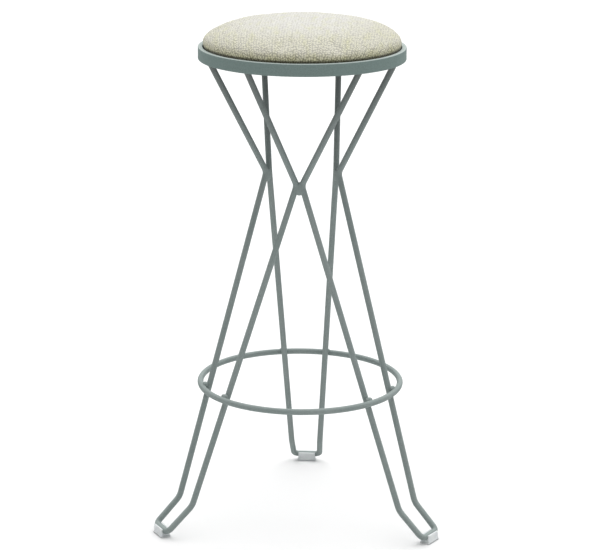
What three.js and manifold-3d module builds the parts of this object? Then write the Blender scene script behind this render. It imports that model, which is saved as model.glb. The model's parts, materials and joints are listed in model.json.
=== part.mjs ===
// Bar stool with an hourglass frame of bent steel rod: three hairpin legs that touch in pairs at the
// waist, a flat-bar hoop round an upholstered round seat, and a footrest ring outside the legs.
// Millimetres, +Z up, standing on z = 0. Azimuth 0 is +X, and the back leg points along +Y.

import * as THREE from "three";
import { mergeVertices } from "three/addons/utils/BufferGeometryUtils.js";
import Module from "manifold-3d";

const wasm = await Module();
wasm.setup();

// Driving dimensions of the frame
const rodDiameter = 10;
const contactGap = 0.3;
const hoopTopHeight = 804;
const hoopOuterRadius = 170;
const hoopBarHeight = 20;
const hoopBarThickness = 8;
const hoopEdgeRadius = 1.2;
const waistHeight = 586.5;
const waistRadius = 67.6;
const waistWeldGap = 1;
const kneeHeight = 51.6;
const kneeHalfWidth = 25.3;
const footHalfWidth = 23.2;
const footSplay = 87.3;
const kneeInset = 44.3;
const headRise = 9.5;
const headInset = 3.7;
const headHalfAngleDeg = 24.05;
const headTwistDeg = 3.75;
const footrestHeight = 233;
const waistBendRadius = 18;
const kneeBendRadius = 30;
const footBendRadius = 9.5;

// Driving dimensions of the glides
const glideSole = 5.7;
const glideWallThickness = 2.2;
const glideWallReach = 3.6;
const glideLength = 30;
const glideMouthShare = 0.83;
const glideMouthFlare = 0.6;
const glideFlangeOverhang = 1.8;
const glideFlangeMargin = 1.8;
const glideFlangeThickness = 2.2;
const glideFlangeCornerRadius = 3;
const glideEdgeRadius = 0.8;

// Driving dimensions of the seat
const cushionClearance = 4;
const cushionBulge = 3.8;
const cushionBulgeHeight = 12;
const cushionBulgeRise = 6.6;
const cushionCrown = 38;
const cushionHemRadius = 2;
const coverThickness = 1.2;
const hemWidth = 26;
const boardThickness = 9;
const dustCoverThickness = 0.8;
const dustCoverClearance = 1;
const tabThickness = 4;
const tabWidth = 24;
const tabLength = 32;
const tabCornerRadius = 6;
const screwInset = 18;

// Driving dimensions of the seat screws
const screwDiameter = 6;
const screwHeadDiameter = 11;
const screwHeadHeight = 3.4;
const screwSocketDiameter = 4.4;
const screwSocketDepth = 2;
const screwTipChamfer = 0.8;
const washerDiameter = 14;
const washerThickness = 1.4;
const nutFlangeDiameter = 19;
const nutFlangeThickness = 1.5;
const nutBarrelDiameter = 8.6;
const nutBarrelInset = 0.5;
const holeClearance = 0.6;

// Driving dimensions of the weld beads
const waistBeadHeight = 22;
const waistBeadWidth = 9;
const waistBeadDepth = 8.4;
const hoopBeadWidth = 16;
const hoopBeadHeight = 8;
const hoopBeadRise = 3;
const hoopBeadDepth = 9;
const footrestBeadWidth = 14;
const footrestBeadHeight = 8;
const footrestBeadDepth = 8;
const tabBeadRadius = 3.2;

// Shape exponents of the crown: a flat top that rolls over into the sides
const crownRadialExponent = 2.8;
const crownHeightExponent = 1.9;

// Counts of facets
const rodSides = 12;
const bendStepDeg = 11;
const hoopSegments = 72;
const ringSegments = 64;
const ringSides = 12;
const seatSegments = 40;
const crownSteps = 8;
const bulgeSteps = 3;
const fastenerSegments = 16;
const beadSegments = 12;
const beadRings = 8;
const edgeSteps = 2;
const glideBoreSteps = 10;

// Sizes that follow from the driving dimensions
const rodRadius = rodDiameter / 2;
const hoopInnerRadius = hoopOuterRadius - hoopBarThickness;
const hoopBottomHeight = hoopTopHeight - hoopBarHeight;
const footRadius = hoopOuterRadius + footSplay;
const kneeRadius = footRadius - kneeInset;
const headHeight = hoopBottomHeight + headRise;
const footRodHeight = glideSole + contactGap + rodRadius;
const glideBoreRadius = rodRadius + contactGap;
const glideHalfWidth = glideBoreRadius + glideWallThickness;
const glideWallHeight = footRodHeight + glideWallReach;
const overrun = rodDiameter;
const tabTopHeight = headHeight;
const tabBottomHeight = tabTopHeight - tabThickness;
const tabEndRadius = hoopInnerRadius - contactGap;
const dustCoverBottom = tabTopHeight + contactGap;
const hemBottom = dustCoverBottom + dustCoverThickness + contactGap;
const hemTop = hemBottom + coverThickness;
const boardBottom = hemTop + contactGap;
const boardTop = boardBottom + boardThickness;
const cushionEdgeRadius = hoopInnerRadius - cushionClearance;
const cushionRadius = cushionEdgeRadius + cushionBulge;
const cushionBulgeLevel = boardTop + cushionBulgeRise;
const cushionEdgeLevel = cushionBulgeLevel - cushionBulgeHeight;
const boardRadius = cushionEdgeRadius - coverThickness - contactGap;
const hemInnerRadius = cushionEdgeRadius - hemWidth;
const dustCoverRadius = hoopInnerRadius - dustCoverClearance;
const screwCircleRadius = tabEndRadius - screwInset;
const screwHoleRadius = (screwDiameter + holeClearance) / 2;

// Azimuths of the legs, and of the waist welds and seat tabs halfway between them
const legAzimuthsDeg = { left: -150, right: -30, back: 90 };
const betweenAzimuthsDeg = { front: -90, right: 30, left: 150 };

// Powder-coated steel, seat fabric and the small parts
const powderCoat = { color: 0x74817e, roughness: 0.55, metalness: 0.1 };
const zincSteel = { color: 0xb4b8ba, roughness: 0.35, metalness: 0.9 };
const palePlastic = { color: 0xd3d7d8, roughness: 0.5, metalness: 0 };
const fabric = { color: 0xd9d8c4, roughness: 0.95, metalness: 0 };
const foam = { color: 0xe8dfb4, roughness: 1, metalness: 0 };
const plywood = { color: 0xc9a56e, roughness: 0.75, metalness: 0 };
const blackFelt = { color: 0x25272a, roughness: 0.98, metalness: 0 };

const rad = THREE.MathUtils.degToRad;

// Joining and cutting of closed meshes

function solidOf(geometry) {
  const bare = new THREE.BufferGeometry();
  bare.setAttribute("position", geometry.getAttribute("position"));
  bare.setIndex(geometry.getIndex());
  const merged = mergeVertices(bare);
  return new wasm.Manifold(
    new wasm.Mesh({
      numProp: 3,
      vertProperties: Float32Array.from(merged.getAttribute("position").array),
      triVerts: Uint32Array.from(merged.getIndex().array),
    }),
  );
}

function geometryOf(solid) {
  const mesh = solid.getMesh();
  const geometry = new THREE.BufferGeometry();
  geometry.setAttribute("position", new THREE.BufferAttribute(mesh.vertProperties, 3));
  geometry.setIndex(new THREE.BufferAttribute(mesh.triVerts, 1));
  const faceted = geometry.toNonIndexed();
  faceted.computeVertexNormals();
  return faceted;
}

// The base geometry less each of the cutters
function cut(base, cutters) {
  const start = solidOf(base);
  return cutters.reduce((left, cutter) => left.subtract(solidOf(cutter)), start);
}

// The largest of the bodies that a cut leaves, without the slivers beside it
function mainBody(solid) {
  const bodies = solid.decompose();
  bodies.sort((a, b) => b.volume() - a.volume());
  return bodies[0];
}

function turnedCopy(geometry, azimuthDeg) {
  return geometry.clone().rotateZ(rad(azimuthDeg));
}

// Building blocks

// A solid of revolution about Z from a profile of [radius, height] points, upwards on the outside
function revolved(profile, segments) {
  const points = profile.map(([radius, height]) => new THREE.Vector2(radius, height));
  return new THREE.LatheGeometry(points, segments).rotateX(rad(90));
}

function disc(radius, bottom, top) {
  return revolved([[0, bottom], [radius, bottom], [radius, top], [0, top]], seatSegments);
}

// A flat outline in X and Y, raised from one height by a thickness
function plate(shape, bottom, thickness, curveSegments) {
  const options = { depth: thickness, bevelEnabled: false, curveSegments };
  return new THREE.ExtrudeGeometry(shape, options).translate(0, 0, bottom);
}

// Points along a round corner, centred at [x, y], from one angle to another
function cornerPoints(x, y, radius, fromDeg, toDeg, steps) {
  return Array.from({ length: steps + 1 }, (_, i) => {
    const angle = rad(fromDeg + ((toDeg - fromDeg) * i) / steps);
    return [x + radius * Math.cos(angle), y + radius * Math.sin(angle)];
  });
}

// A rod's centreline: straights between corner points, each inner corner rounded to its bend radius.
// Its stations lie at the ends of the straights and every few degrees round the bends.
class BentRod extends THREE.Curve {
  constructor(corners, bendRadii) {
    super();
    const last = corners.length - 1;
    this.stations = [{ point: corners[0], tangent: direction(corners[0], corners[1]) }];
    for (let i = 1; i < last; i++) {
      const arriving = direction(corners[i - 1], corners[i]);
      const leaving = direction(corners[i], corners[i + 1]);
      this.stations.push(...bendStations(corners[i], arriving, leaving, bendRadii[i - 1]));
    }
    this.stations.push({ point: corners[last], tangent: direction(corners[last - 1], corners[last]) });
    this.steps = this.stations.length - 1;
  }

  getPoint(t) {
    const place = THREE.MathUtils.clamp(t, 0, 1) * this.steps;
    const from = Math.min(Math.floor(place), this.steps - 1);
    const [a, b] = [this.stations[from].point, this.stations[from + 1].point];
    return a.clone().lerp(b, place - from);
  }

  getTangent(t) {
    return this.stations[Math.round(THREE.MathUtils.clamp(t, 0, 1) * this.steps)].tangent.clone();
  }

  // The stations stand for equal steps, so that a straight takes no more sections than a bend needs
  getPointAt(u) {
    return this.getPoint(u);
  }

  getTangentAt(u) {
    return this.getTangent(u);
  }
}

function direction(from, to) {
  return to.clone().sub(from).normalize();
}

function bendStations(corner, arriving, leaving, bendRadius) {
  const turn = arriving.angleTo(leaving);
  const steps = Math.ceil(THREE.MathUtils.radToDeg(turn) / bendStepDeg);
  const towardsCentre = leaving.clone().sub(arriving).normalize();
  const centre = corner.clone().addScaledVector(towardsCentre, bendRadius / Math.cos(turn / 2));
  const axis = arriving.clone().cross(leaving).normalize();
  const startTangentLength = bendRadius * Math.tan(turn / 2);
  const spoke = corner.clone().addScaledVector(arriving, -startTangentLength).sub(centre);
  return Array.from({ length: steps + 1 }, (_, i) => {
    const angle = (turn * i) / steps;
    return {
      point: centre.clone().add(spoke.clone().applyAxisAngle(axis, angle)),
      tangent: arriving.clone().applyAxisAngle(axis, angle),
    };
  });
}

function rodAlong(curve, radius) {
  const angles = Array.from({ length: rodSides }, (_, i) => ((i + 1 / 2) * 2 * Math.PI) / rodSides);
  const ring = angles.map((a) => new THREE.Vector2(radius * Math.cos(a), radius * Math.sin(a)));
  const options = { steps: curve.steps, extrudePath: curve, bevelEnabled: false };
  return new THREE.ExtrudeGeometry(new THREE.Shape(ring), options);
}

// A weld bead's raw shape: an ellipsoid with its depth along X, its width along Y, its height along Z
function bead(depth, width, height) {
  return new THREE.SphereGeometry(1, beadSegments, beadRings)
    .rotateX(rad(90))
    .scale(depth / 2, width / 2, height / 2);
}

// The legs, built for a leg that points along +X: side is 1 on its +Y side and -1 on its -Y side

// Where a leg's rod passes its neighbour at the waist, as the tip of the bend
function waistTip(side) {
  const azimuth = rad(60) * side;
  const sideways = (rodDiameter + waistWeldGap) / 2;
  return new THREE.Vector3(
    waistRadius * Math.cos(azimuth) + sideways * Math.sin(azimuth) * side,
    waistRadius * Math.sin(azimuth) - sideways * Math.cos(azimuth) * side,
    waistHeight,
  );
}

function headPoint(side) {
  const azimuth = rad(headHalfAngleDeg * side + headTwistDeg);
  const radius = hoopInnerRadius - headInset;
  return new THREE.Vector3(radius * Math.cos(azimuth), radius * Math.sin(azimuth), headHeight);
}

function kneePoint(side) {
  return new THREE.Vector3(kneeRadius, side * kneeHalfWidth, kneeHeight);
}

function footPoint(side) {
  return new THREE.Vector3(footRadius, side * footHalfWidth, footRodHeight);
}

// The corner that the waist bend rounds off, so that the bend's own tip lies at the waist
function waistCorner(side) {
  const tip = waistTip(side);
  const up = direction(tip, headPoint(side));
  const down = direction(tip, kneePoint(side));
  const halfTurn = (Math.PI - up.angleTo(down)) / 2;
  const cornerBeyondTip = waistBendRadius * (1 / Math.cos(halfTurn) - 1);
  return tip.addScaledVector(up.add(down).normalize(), -cornerBeyondTip);
}

function headBeyondHoop(side) {
  const corner = waistCorner(side);
  const upwards = direction(corner, headPoint(side));
  return headPoint(side).addScaledVector(upwards, overrun);
}

const legCurve = new BentRod(
  [
    headBeyondHoop(-1),
    waistCorner(-1),
    kneePoint(-1),
    footPoint(-1),
    footPoint(1),
    kneePoint(1),
    waistCorner(1),
    headBeyondHoop(1),
  ],
  [waistBendRadius, kneeBendRadius, footBendRadius, footBendRadius, kneeBendRadius, waistBendRadius],
);

// The leg's rod with some clearance round it, for cutting what touches it
const legClearance = rodAlong(legCurve, rodRadius + contactGap);

function hoopProfile(growth) {
  const inner = hoopInnerRadius - growth;
  const outer = hoopOuterRadius + growth;
  const bottom = hoopBottomHeight - growth;
  const top = hoopTopHeight + growth;
  const r = hoopEdgeRadius;
  const profile = [
    ...cornerPoints(outer - r, bottom + r, r, -90, 0, edgeSteps),
    ...cornerPoints(outer - r, top - r, r, 0, 90, edgeSteps),
    ...cornerPoints(inner + r, top - r, r, 90, 180, edgeSteps),
    ...cornerPoints(inner + r, bottom + r, r, 180, 270, edgeSteps),
  ];
  return [...profile, profile[0]];
}

const hoopClearance = revolved(hoopProfile(contactGap), hoopSegments);

// A leg's heads stand inside the hoop, cut level at the top and hollowed to fit its inner face
function makeLegGeometry() {
  const aboveHeads = disc(hoopOuterRadius, headHeight, headHeight + 2 * overrun);
  return geometryOf(cut(rodAlong(legCurve, rodRadius), [aboveHeads, hoopClearance]));
}

// The footrest ring lies against the outside of the legs' rods, which lean in towards the waist
function footrestRadius() {
  const corner = waistCorner(1);
  const knee = kneePoint(1);
  const share = (footrestHeight - kneeHeight) / (corner.z - kneeHeight);
  const crossing = knee.clone().lerp(corner, share);
  const outwards = new THREE.Vector3(crossing.x, crossing.y, 0).normalize();
  const lean = direction(knee, corner);
  const slope = Math.abs(outwards.dot(lean)) / lean.z;
  return Math.hypot(crossing.x, crossing.y) + (rodDiameter + contactGap) * Math.hypot(1, slope);
}

function ringGeometry(growth) {
  return new THREE.TorusGeometry(footrestRadius(), rodRadius + growth, ringSides, ringSegments)
    .translate(0, 0, footrestHeight);
}

// Weld beads, each cut clear of the pieces that it joins

// The bead at the waist, built for the pair of rods that meet at azimuth 60 degrees of the first leg
function waistBeadGeometry() {
  const raw = bead(waistBeadDepth, waistBeadWidth, waistBeadHeight)
    .translate(waistRadius, 0, waistHeight)
    .rotateZ(rad(60));
  const neighbour = turnedCopy(legClearance, 120);
  return geometryOf(mainBody(cut(raw, [legClearance, neighbour]))).rotateZ(rad(-60));
}

// The bead round a leg's head, in the corner that the rod makes with the hoop's inner face
function hoopBeadGeometry(side) {
  const azimuth = headHalfAngleDeg * side + headTwistDeg;
  const raw = bead(hoopBeadDepth, hoopBeadWidth, hoopBeadHeight)
    .translate(hoopInnerRadius, 0, hoopBottomHeight + hoopBeadRise)
    .rotateZ(rad(azimuth));
  return geometryOf(mainBody(cut(raw, [legClearance, hoopClearance])));
}

// The bead on top of the footrest ring, where a leg's rod passes inside it
function footrestBeadGeometry(side) {
  const corner = waistCorner(side);
  const knee = kneePoint(side);
  const height = footrestHeight + rodRadius;
  const crossing = knee.clone().lerp(corner, (height - kneeHeight) / (corner.z - kneeHeight));
  const radius = footrestRadius() - rodRadius;
  const raw = bead(footrestBeadDepth, footrestBeadWidth, footrestBeadHeight)
    .translate(radius, 0, height)
    .rotateZ(Math.atan2(crossing.y, crossing.x));
  return geometryOf(mainBody(cut(raw, [legClearance, ringGeometry(contactGap)])));
}

// The fillet under a seat tab, in the corner that it makes with the hoop; the tab points along -X
function tabBeadGeometry() {
  const length = tabWidth - 2 * tabBeadRadius;
  const raw = new THREE.CylinderGeometry(tabBeadRadius, tabBeadRadius, length, beadSegments)
    .translate(hoopInnerRadius, 0, 0)
    .translate(0, 0, tabBottomHeight);
  const tabClearance = new THREE.BoxGeometry(tabLength, tabWidth, tabThickness + 2 * contactGap)
    .translate(hoopInnerRadius, 0, tabBottomHeight + tabThickness / 2);
  return geometryOf(mainBody(cut(raw, [tabClearance, hoopClearance])));
}

// The glides: a snap-on channel round the foot's cross-bar, on a wider flat flange

function glideChannelShape() {
  const mouthDeg = THREE.MathUtils.radToDeg(Math.acos(glideMouthShare));
  const lipHalfWidth = glideMouthShare * glideBoreRadius + glideMouthFlare;
  const r = glideEdgeRadius;
  const outline = [
    [-glideHalfWidth, 0],
    [glideHalfWidth, 0],
    ...cornerPoints(glideHalfWidth - r, glideWallHeight - r, r, 0, 90, edgeSteps),
    [lipHalfWidth, glideWallHeight],
    ...cornerPoints(0, footRodHeight, glideBoreRadius, mouthDeg, -180 - mouthDeg, glideBoreSteps),
    [-lipHalfWidth, glideWallHeight],
    ...cornerPoints(r - glideHalfWidth, glideWallHeight - r, r, 90, 180, edgeSteps),
  ];
  return new THREE.Shape(outline.map(([x, y]) => new THREE.Vector2(x, y)));
}

function roundedRectangle(length, width, radius) {
  const [x, y] = [length / 2 - radius, width / 2 - radius];
  const points = [
    ...cornerPoints(x, y, radius, 0, 90, edgeSteps),
    ...cornerPoints(-x, y, radius, 90, 180, edgeSteps),
    ...cornerPoints(-x, -y, radius, 180, 270, edgeSteps),
    ...cornerPoints(x, -y, radius, 270, 360, edgeSteps),
  ];
  return new THREE.Shape(points.map(([px, py]) => new THREE.Vector2(px, py)));
}

// Built for a leg that points along +X: the channel runs along Y and opens upwards
function makeGlideGeometry() {
  const channel = new THREE.ExtrudeGeometry(glideChannelShape(), { depth: glideLength, bevelEnabled: false })
    .translate(0, 0, -glideLength / 2)
    .rotateX(rad(90));
  const flangeWidth = 2 * (glideHalfWidth + glideFlangeMargin);
  const flangeLength = glideLength + 2 * glideFlangeOverhang;
  const flangeOutline = roundedRectangle(flangeWidth, flangeLength, glideFlangeCornerRadius);
  const flange = plate(flangeOutline, 0, glideFlangeThickness, edgeSteps);
  return geometryOf(solidOf(channel).add(solidOf(flange))).translate(footRadius, 0, 0);
}

// The seat, from the tabs upwards

// A flat tab that points inwards from the hoop, round at its inner corners, with the screw's hole
function tabGeometry() {
  const halfWidth = tabWidth / 2;
  const endDeg = THREE.MathUtils.radToDeg(Math.asin(halfWidth / tabEndRadius));
  const innerX = tabEndRadius - tabLength;
  const r = tabCornerRadius;
  const outline = [
    ...cornerPoints(0, 0, tabEndRadius, -endDeg, endDeg, edgeSteps),
    ...cornerPoints(innerX + r, halfWidth - r, r, 90, 180, edgeSteps),
    ...cornerPoints(innerX + r, r - halfWidth, r, 180, 270, edgeSteps),
  ];
  const shape = new THREE.Shape(outline.map(([x, y]) => new THREE.Vector2(x, y)));
  const hole = new THREE.Path().absarc(screwCircleRadius, 0, screwHoleRadius, 0, rad(360), true);
  shape.holes.push(hole);
  return plate(shape, tabBottomHeight, tabThickness, fastenerSegments / 2);
}

// A drill at each seat screw, from one height to another
function screwDrills(radius, bottom, top) {
  const drill = new THREE.CylinderGeometry(radius, radius, top - bottom, fastenerSegments)
    .rotateX(rad(90))
    .translate(screwCircleRadius, 0, (bottom + top) / 2);
  return Object.values(betweenAzimuthsDeg).map((azimuth) => turnedCopy(drill, azimuth));
}

// The cushion's side from the middle of its crown, over its bulge and in again to a lowest level,
// with all of it moved inwards by an inset
function cushionSide(inset, lowest) {
  const radius = cushionRadius - inset;
  const crown = Array.from({ length: crownSteps + 1 }, (_, i) => {
    const angle = rad(90 * (1 - i / crownSteps));
    const across = i === 0 ? 0 : Math.cos(angle) ** (2 / crownRadialExponent);
    const up = Math.sin(angle) ** (2 / crownHeightExponent);
    return [radius * across, cushionBulgeLevel + (cushionCrown - inset) * up];
  });
  const lowestDeg = THREE.MathUtils.radToDeg(Math.asin((cushionBulgeLevel - lowest) / cushionBulgeHeight));
  const drawnIn = Array.from({ length: bulgeSteps }, (_, i) => {
    const angle = rad((lowestDeg * (i + 1)) / bulgeSteps);
    const across = radius - cushionBulge * (1 - Math.cos(angle));
    return [across, cushionBulgeLevel - cushionBulgeHeight * Math.sin(angle)];
  });
  return [...crown, ...drawnIn];
}

// The fabric: over the crown, down inside the hoop and round under the board to its stapled hem
function makeCoverGeometry() {
  const outerCorner = cornerPoints(
    cushionEdgeRadius - cushionHemRadius, hemBottom + cushionHemRadius, cushionHemRadius, 0, -90, edgeSteps,
  );
  const innerRadius = cushionEdgeRadius - coverThickness;
  const profile = [
    ...cushionSide(0, cushionEdgeLevel),
    ...outerCorner,
    [hemInnerRadius, hemBottom],
    [hemInnerRadius, hemTop],
    [innerRadius, hemTop],
    ...cushionSide(coverThickness, cushionEdgeLevel).reverse(),
  ];
  const shell = revolved(profile.reverse(), seatSegments);
  return geometryOf(cut(shell, screwDrills(screwHoleRadius, hemBottom - overrun, hemTop + contactGap / 2)));
}

function makeFoamGeometry() {
  const inset = coverThickness + contactGap;
  const bottom = boardTop + contactGap;
  const side = cushionSide(inset, bottom);
  return revolved([...side, [0, bottom]].reverse(), seatSegments);
}

// The plywood board, with its nuts let into its top face
function makeBoardGeometry() {
  const barrelRadius = nutBarrelDiameter / 2 + contactGap;
  const flangeRadius = nutFlangeDiameter / 2 + contactGap;
  const recessBottom = boardTop - nutFlangeThickness - contactGap;
  return geometryOf(
    cut(disc(boardRadius, boardBottom, boardTop), [
      ...screwDrills(barrelRadius, boardBottom - overrun, boardTop),
      ...screwDrills(flangeRadius, recessBottom, boardTop + overrun),
    ]),
  );
}

function makeDustCoverGeometry() {
  const felt = disc(dustCoverRadius, dustCoverBottom, dustCoverBottom + dustCoverThickness);
  return geometryOf(cut(felt, screwDrills(screwHoleRadius, dustCoverBottom - overrun, boardBottom)));
}

// The seat's fasteners, each on the screw's own axis at the origin of its group

function screwGeometry() {
  const headTop = tabBottomHeight - contactGap - washerThickness - contactGap;
  const headBottom = headTop - screwHeadHeight;
  const tip = boardTop - nutFlangeThickness;
  const shank = screwDiameter / 2;
  const socket = screwSocketDiameter / 2;
  return revolved(
    [
      [0, headBottom + screwSocketDepth],
      [socket, headBottom + screwSocketDepth],
      [socket, headBottom],
      [screwHeadDiameter / 2, headBottom],
      [screwHeadDiameter / 2, headTop],
      [shank, headTop],
      [shank, tip - screwTipChamfer],
      [shank - screwTipChamfer, tip],
      [0, tip],
    ],
    fastenerSegments,
  );
}

function washerGeometry() {
  const top = tabBottomHeight - contactGap;
  const bottom = top - washerThickness;
  const outer = washerDiameter / 2;
  const bore = [screwHoleRadius, bottom];
  return revolved([bore, [outer, bottom], [outer, top], [screwHoleRadius, top], bore], fastenerSegments);
}

function nutGeometry() {
  const top = boardTop;
  const flangeBottom = top - nutFlangeThickness;
  const bottom = boardBottom + nutBarrelInset;
  const barrel = nutBarrelDiameter / 2;
  const bore = [screwHoleRadius, bottom];
  return revolved(
    [
      bore,
      [barrel, bottom],
      [barrel, flangeBottom],
      [nutFlangeDiameter / 2, flangeBottom],
      [nutFlangeDiameter / 2, top],
      [screwHoleRadius, top],
      bore,
    ],
    fastenerSegments,
  );
}

// Assembly

const stool = new THREE.Group();

function addPiece(name, geometry, look, parent) {
  const mesh = new THREE.Mesh(geometry, new THREE.MeshStandardMaterial(look));
  mesh.name = name;
  parent.add(mesh);
}

function groupAt(azimuthDeg) {
  const group = new THREE.Group();
  group.rotation.z = rad(azimuthDeg);
  stool.add(group);
  return group;
}

const legGeometry = makeLegGeometry();
const glideGeometry = makeGlideGeometry();
const sides = { a: -1, b: 1 };
const hoopBeads = { a: hoopBeadGeometry(sides.a), b: hoopBeadGeometry(sides.b) };
const footrestBeads = { a: footrestBeadGeometry(sides.a), b: footrestBeadGeometry(sides.b) };

for (const [place, azimuth] of Object.entries(legAzimuthsDeg)) {
  const group = groupAt(azimuth);
  addPiece(`leg_${place}`, legGeometry, powderCoat, group);
  addPiece(`glide_${place}`, glideGeometry, palePlastic, group);
  for (const side of Object.keys(sides)) {
    addPiece(`hoop_weld_${place}_${side}`, hoopBeads[side], powderCoat, group);
    addPiece(`footrest_weld_${place}_${side}`, footrestBeads[side], powderCoat, group);
  }
}

addPiece("seat_hoop", revolved(hoopProfile(0), hoopSegments), powderCoat, stool);
addPiece("footrest_ring", ringGeometry(0), powderCoat, stool);

const waistBead = waistBeadGeometry();
const tab = tabGeometry();
const tabBead = tabBeadGeometry();

for (const [place, azimuth] of Object.entries(betweenAzimuthsDeg)) {
  const group = groupAt(azimuth);
  addPiece(`waist_weld_${place}`, waistBead, powderCoat, group);
  addPiece(`seat_tab_${place}`, tab, powderCoat, group);
  addPiece(`seat_tab_weld_${place}`, tabBead, powderCoat, group);

  const screwAxis = new THREE.Group();
  screwAxis.position.x = screwCircleRadius;
  group.add(screwAxis);
  addPiece(`seat_screw_${place}`, screwGeometry(), zincSteel, screwAxis);
  addPiece(`seat_washer_${place}`, washerGeometry(), zincSteel, screwAxis);
  addPiece(`seat_nut_${place}`, nutGeometry(), zincSteel, screwAxis);
}

addPiece("seat_dust_cover", makeDustCoverGeometry(), blackFelt, stool);
addPiece("seat_board", makeBoardGeometry(), plywood, stool);
addPiece("seat_foam", makeFoamGeometry(), foam, stool);
addPiece("seat_cover", makeCoverGeometry(), fabric, stool);

// The stool stands with the middle of its footprint's box at the origin
const bounds = new THREE.Box3().setFromObject(stool, true);
const middle = bounds.getCenter(new THREE.Vector3());
stool.position.set(-middle.x, -middle.y, -bounds.min.z);

const part = new THREE.Group();
part.add(stool);

export default part;
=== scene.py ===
"""Looks of the bar stool: powder-coated rod frame, woven seat, plastic glides, on a pale floor.

Lengths are in millimetres up to place(), which turns them into Blender's metres. Pieces are built
round the stool's own upright axis, with azimuth 0 along +X and the back leg along +Y.
"""

import json
import math

import bmesh
import bpy
import numpy as np
from mathutils import Matrix, Vector, noise


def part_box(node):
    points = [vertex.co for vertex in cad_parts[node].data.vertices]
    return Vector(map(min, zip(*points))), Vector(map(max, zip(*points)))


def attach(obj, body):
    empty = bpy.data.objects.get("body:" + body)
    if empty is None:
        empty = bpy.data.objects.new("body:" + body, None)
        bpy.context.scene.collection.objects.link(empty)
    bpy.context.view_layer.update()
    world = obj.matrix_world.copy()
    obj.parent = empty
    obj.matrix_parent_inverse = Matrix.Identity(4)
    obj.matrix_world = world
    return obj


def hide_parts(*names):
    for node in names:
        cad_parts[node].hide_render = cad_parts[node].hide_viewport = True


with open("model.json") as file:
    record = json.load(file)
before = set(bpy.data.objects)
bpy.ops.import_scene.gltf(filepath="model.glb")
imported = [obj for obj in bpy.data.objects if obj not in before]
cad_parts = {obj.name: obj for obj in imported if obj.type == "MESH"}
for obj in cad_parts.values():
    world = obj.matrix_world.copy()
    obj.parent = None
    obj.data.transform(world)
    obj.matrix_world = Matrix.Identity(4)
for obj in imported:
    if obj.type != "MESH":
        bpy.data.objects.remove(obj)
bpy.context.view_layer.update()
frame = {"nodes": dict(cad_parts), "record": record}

MM = 0.001

# Azimuths of the legs, and of the waist welds and seat tabs between them, in degrees
LEGS = {"left": -150, "right": -30, "back": 90}
BETWEEN = {"front": -90, "right": 30, "left": 150}

# The two halves of a leg, and a rectangle's corners counter-clockwise
SIDES = {"a": -1, "b": 1}
CORNERS = ((1, 1), (-1, 1), (-1, -1), (1, -1))

# The frame's sizes, as in the CAD model
ROD_RADIUS = 5
SEAM = 0.3
HOOP_TOP = 804
HOOP_OUTER = 170
HOOP_HEIGHT = 20
HOOP_THICKNESS = 8
HOOP_EDGE = 1.2
HOOP_INNER = HOOP_OUTER - HOOP_THICKNESS
HOOP_BOTTOM = HOOP_TOP - HOOP_HEIGHT
WAIST_HEIGHT = 586.5
WAIST_RADIUS = 67.6
WAIST_WELD_GAP = 1
FOOT_SPLAY = 87.3
FOOT_HALF_WIDTH = 23.2
FOOT_ROD_HEIGHT = 11
FOOT_RADIUS = HOOP_OUTER + FOOT_SPLAY
KNEE_INSET = 44.3
KNEE_HEIGHT = 51.6
KNEE_HALF_WIDTH = 25.3
KNEE_RADIUS = FOOT_RADIUS - KNEE_INSET
HEAD_RISE = 9.5
HEAD_INSET = 3.7
HEAD_HALF_ANGLE = 24.05
HEAD_TWIST = 3.75
HEAD_HEIGHT = HOOP_BOTTOM + HEAD_RISE
HEAD_RADIUS = HOOP_INNER - HEAD_INSET
WAIST_BEND = 18
KNEE_BEND = 30
FOOT_BEND = 9.5
FOOTREST_HEIGHT = 233

# The welds. A bead's size is its depth towards the axis, its width and its height, and a weld's own
# stretch of rod reaches from before its point to after it.
WAIST_BEAD = (9.9, 10, 22)
WAIST_BEAD_DROP = 5.5
WAIST_BEAD_BOXY = 0.6
WAIST_WEB_RISE = 22
WAIST_WEB_DROP = 24
HOOP_BEAD = (9, 16, 8)
HOOP_BEAD_RISE = 3
HOOP_WELD_ROD = (26, -4)
FOOTREST_BEAD = (8, 14, 8)
FOOTREST_WELD_ROD = (14, 14)
BEAD_SPREAD = 4.5
TAB_FILLET = 3.4
TAB_FILLET_MARGIN = 2
FILLET_SINK = 0.4

# How far a weld's own copies of the pieces that it joins lie inside them, and how they run together
WELD_SINK = 0.12
WAIST_WELD_SINK = 0.05
MELT_VOXEL = 0.5
MELT_ROUNDS = 8
WAIST_MELT_ROUNDS = 12

# The glides' sizes
GLIDE_LENGTH = 30
GLIDE_HALF_WIDTH = 7.5
GLIDE_WALL_REACH = 3.6
GLIDE_WALL_EDGE = 0.8
GLIDE_MOUTH_SHARE = 0.83
GLIDE_MOUTH_FLARE = 0.6
GLIDE_MARGIN = 1.8
CHANNEL_RISE = 0.4
CHANNEL_BEVEL = 0.4
FLANGE_OVERHANG = 1.8
FLANGE_THICKNESS = 2.2
FLANGE_CORNER = 3
FLANGE_BEVEL = 0.6

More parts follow.
